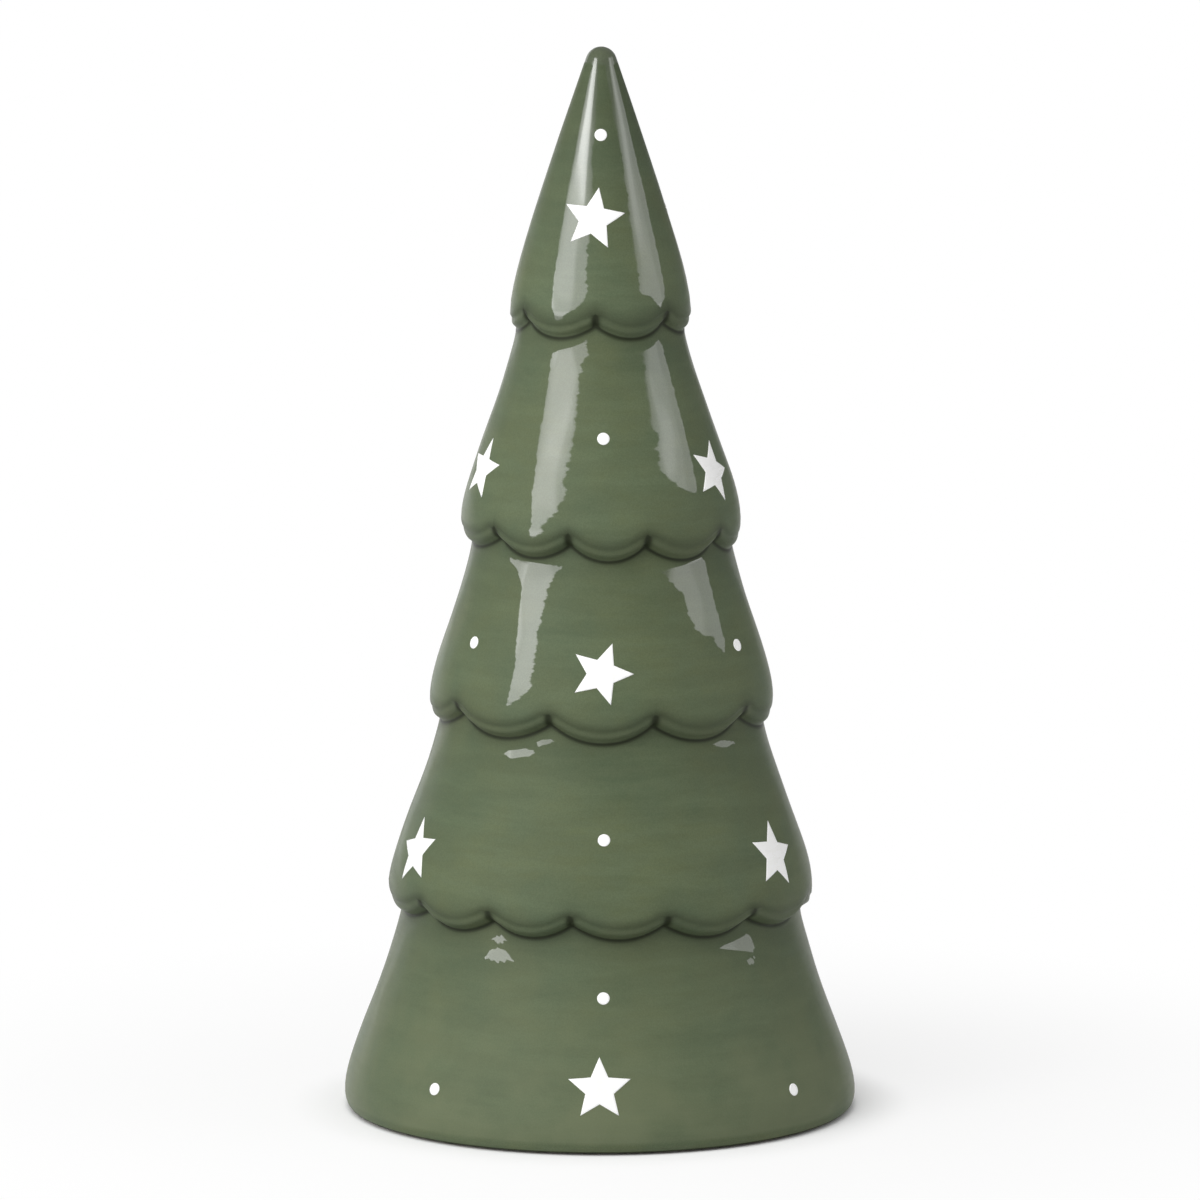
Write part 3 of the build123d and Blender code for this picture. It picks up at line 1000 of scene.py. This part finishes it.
def grey_felt():
    """Pressed grey felt: mixed fibres and a rough nap."""
    material, nodes, shader = new_material("grey_felt")
    marks = place_brushwork(nodes, Around=1500.0, Upright=1500.0, Patches=700.0, Grain=6000.0)
    colour = nodes.mix(marks["Clouds"], FELT_DARK, FELT_PALE)
    nodes.put(shader.inputs["Base Color"], nodes.mix(marks["Grain"], colour, FELT_MIDDLE))
    nodes.put(shader.inputs["Roughness"], nodes.spread(marks["Strokes"], 0.2, 0.8, *FELT_ROUGHNESS))
    nodes.put(shader.inputs["Normal"], nodes.bump(marks["Strokes"], NAP_DEPTH))
    return material


def seat(piece, node, material):
    """Finish a piece, and let it ride on the one body in place of its solid."""
    piece.data.materials.append(material)
    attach(piece, "root")
    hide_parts(node)


# Stars: tier, size, distance up the skirt, and the angle and tilt of each
STAR_ROWS = (
    (CROWN, STAR_RADIUS, 37.3, ((-6, 8), (114, -10), (234, 12))),
    (UPPER, STAR_RADIUS, 25.5, ((-69, 4), (61, 20), (178, -12))),
    (MIDDLE, STAR_RADIUS, 22.7, ((0, 19), (120, -8), (240, 6))),
    (LOWER, LARGE_STAR_RADIUS, 22.8, ((-65.7, -11), (59, 11), (178, 5))),
    (BASE, STAR_RADIUS, 18.8, ((0, 0), (120, 10), (240, -6))),
)
# Dots: tier, word for the row, distance up the skirt, and the angle and extra distance of each
DOT_ROWS = (
    (CROWN, "", 61.5, ((0, 0), (120, 0), (240, 0))),
    (UPPER, "", 37.4, ((1, 0), (121, 0), (240, 0))),
    (MIDDLE, "", 28.2, ((-54, 0.6), (59, -0.7), (180, 0))),
    (LOWER, "", 31.9, ((1, 0), (121, 0), (240, 0))),
    (BASE, "_high", 44.6, ((1, 0), (120, 0), (240, 0))),
    (BASE, "_low", 14.5, ((-41, 0.8), (50, -1.0), (180, 0))),
)


def build_tree():
    """All pieces of the tree, each in place of its solid."""
    seat(glazed_casting(), "tree_body", green_glaze())
    white = white_transfer()
    for tier, radius, rise, places in STAR_ROWS:
        for number, (angle, tilt) in enumerate(places, start=1):
            name = f"star_{tier.name}_{number}"
            piece = transfer(f"white_{name}", tier, rise, angle, tilt, star_outline(radius), STAR_RINGS)
            seat(piece, name, white)
    for tier, row, rise, places in DOT_ROWS:
        for number, (angle, lift) in enumerate(places, start=1):
            name = f"dot_{tier.name}{row}_{number}"
            piece = transfer(f"white_{name}", tier, rise + lift, angle, 0.0, dot_outline(), DOT_RINGS)
            seat(piece, name, white)
    felt = grey_felt()
    for number in range(1, PAD_COUNT + 1):
        seat(felt_pad(number), f"foot_pad_{number}", felt)


# Studio: floor, world, lamps and camera, in metres
FLOOR_HALF = 9.0
FLOOR_NEAR = 0.0725
FLOOR_EDGE = 0.002
FLOOR_FADE = 0.092
FLOOR_FAR = 0.28
FADE_SHARE = 0.65
FLOOR_COLOUR = 0.78
FLOOR_GLOW = 0.26
WORLD_LEVEL = 0.24
CAMERA_LENS = 294.0
CAMERA_REACH = 100.0
CAMERA_DISTANCE = 2.79715
CAMERA_PITCH = 8.9
TARGET_LEVEL = 0.146495


def white_to_eye(nodes):
    """1 for rays that show the surroundings as white: seen directly, mirrored or through glass."""
    path = nodes.add("ShaderNodeLightPath").outputs
    seen = nodes.math("MAXIMUM", path["Is Camera Ray"], path["Is Glossy Ray"])
    return nodes.math("MAXIMUM", seen, path["Is Transmission Ray"])


def pale_floor():
    """A plain pale floor that keeps the shadow beside the tree and is white further off."""
    corners = [(-FLOOR_HALF, -FLOOR_HALF, 0), (FLOOR_HALF, -FLOOR_HALF, 0)]
    corners += [(FLOOR_HALF, FLOOR_HALF, 0), (-FLOOR_HALF, FLOOR_HALF, 0)]
    mesh = bpy.data.meshes.new("floor")
    mesh.from_pydata(corners, [], [(0, 1, 2, 3)])
    floor = bpy.data.objects.new("floor", mesh)
    bpy.context.scene.collection.objects.link(floor)
    material = bpy.data.materials.new("pale_floor")
    material.use_nodes = True
    nodes = Nodes(material.node_tree)
    material.node_tree.nodes.remove(material.node_tree.nodes["Principled BSDF"])
    spot = nodes.add("ShaderNodeVectorMath", operation="LENGTH")
    nodes.put(spot.inputs[0], nodes.add("ShaderNodeTexCoord").outputs["Object"])
    seen = white_to_eye(nodes)
    matt = nodes.add("ShaderNodeBsdfDiffuse")
    matt.inputs["Color"].default_value = (FLOOR_COLOUR, FLOOR_COLOUR, FLOOR_COLOUR, 1.0)
    glow = nodes.add("ShaderNodeEmission")
    away = spot.outputs["Value"]
    beside = nodes.spread(away, FLOOR_NEAR - FLOOR_EDGE, FLOOR_NEAR + FLOOR_EDGE, to_high=FLOOR_GLOW)
    nodes.put(glow.inputs["Strength"], nodes.math("MULTIPLY", seen, beside))
    near = nodes.add("ShaderNodeAddShader")
    nodes.put(near.inputs[0], matt.outputs[0])
    nodes.put(near.inputs[1], glow.outputs[0])
    white = nodes.add("ShaderNodeEmission")
    fade = nodes.spread(away, FLOOR_NEAR, FLOOR_FADE, to_high=FADE_SHARE)
    far = nodes.math("ADD", fade, nodes.spread(away, FLOOR_FADE, FLOOR_FAR, to_high=1.0 - FADE_SHARE))
    blend = nodes.add("ShaderNodeMixShader")
    nodes.put(blend.inputs[0], nodes.math("MULTIPLY", far, seen))
    nodes.put(blend.inputs[1], near.outputs[0])
    nodes.put(blend.inputs[2], white.outputs[0])
    nodes.put(material.node_tree.nodes["Material Output"].inputs["Surface"], blend.outputs[0])
    floor.data.materials.append(material)


def pale_world():
    """Even neutral surroundings, which fill the shadows."""
    world = bpy.data.worlds.new("pale_world")
    world.use_nodes = True
    bpy.context.scene.world = world
    back = world.node_tree.nodes["Background"]
    back.inputs["Color"].default_value = (1.0, 1.0, 1.0, 1.0)
    back.inputs["Strength"].default_value = WORLD_LEVEL


class SoftBox(NamedTuple):
    """A soft box that faces the tree's axis: its direction from the front, its distance from the axis
    at a level, its width and height, how bright it looks, and whether glossy surfaces mirror it."""

    name: str
    azimuth: float
    distance: float
    level: float
    width: float
    height: float
    radiance: float
    elevation: float = 0.0
    mirrored: bool = True


# The boxes on each side overlap, so that they are brighter in the middle; the one overhead only fills
SOFT_BOXES = (
    SoftBox("left_box", -40.0, 1.0, 0.42, 1.06, 0.88, 1.3),
    SoftBox("left_middle", -56.5, 0.98, 0.44, 0.62, 0.84, 0.6),
    SoftBox("left_inner", -52.0, 0.97, 0.66, 0.36, 0.46, 0.4),
    SoftBox("left_core", -46.0, 0.96, 0.89, 0.44, 0.28, 4.0),
    SoftBox("left_side", -82.0, 1.0, 0.42, 0.58, 0.32, 1.7),
    SoftBox("left_back", -148.0, 1.0, 0.36, 0.70, 0.80, 0.6),
    SoftBox("right_box", 81.5, 1.0, 0.42, 0.92, 0.90, 0.70),
    SoftBox("right_middle", 74.0, 0.98, 0.56, 0.40, 0.78, 0.3),
    SoftBox("right_core", 72.0, 0.97, 0.79, 0.22, 0.36, 0.6),
    SoftBox("top_box", -25.0, 1.6, 0.15, 1.1, 1.1, 3.3, elevation=60.0, mirrored=False),
)


def hang_box(box):
    """One soft box as an area lamp. Its power follows from how bright it looks."""
    lamp = bpy.data.lights.new(box.name, "AREA")
    lamp.shape = "RECTANGLE"
    lamp.size = box.width
    lamp.size_y = box.height
    lamp.energy = box.radiance * np.pi * box.width * box.height
    hung = bpy.data.objects.new(box.name, lamp)
    bpy.context.scene.collection.objects.link(hung)
    turn, climb = np.radians(box.azimuth + FRONT), np.radians(box.elevation)
    outwards = Vector((np.cos(turn) * np.cos(climb), np.sin(turn) * np.cos(climb), np.sin(climb)))
    hung.location = outwards * box.distance + Vector((0.0, 0.0, box.level))
    hung.rotation_euler = outwards.to_track_quat("Z", "Y").to_euler()
    hung.visible_camera = False
    hung.visible_glossy = box.mirrored


def front_camera():
    """A long lens at the front, a little above the tree's middle."""
    lens = bpy.data.cameras.new("camera")
    lens.lens = CAMERA_LENS
    lens.clip_end = CAMERA_REACH
    camera = bpy.data.objects.new("camera", lens)
    bpy.context.scene.collection.objects.link(camera)
    pitch = np.radians(CAMERA_PITCH)
    back = Vector((0.0, -np.cos(pitch), np.sin(pitch)))
    camera.location = Vector((0.0, 0.0, TARGET_LEVEL)) + back * CAMERA_DISTANCE
    camera.rotation_euler = back.to_track_quat("Z", "Y").to_euler()
    bpy.context.scene.camera = camera


def studio():
    """Floor, surroundings, soft boxes and the camera."""
    pale_floor()
    pale_world()
    for box in SOFT_BOXES:
        hang_box(box)
    front_camera()
    bpy.context.scene.view_settings.view_transform = "Standard"


build_tree()
studio()
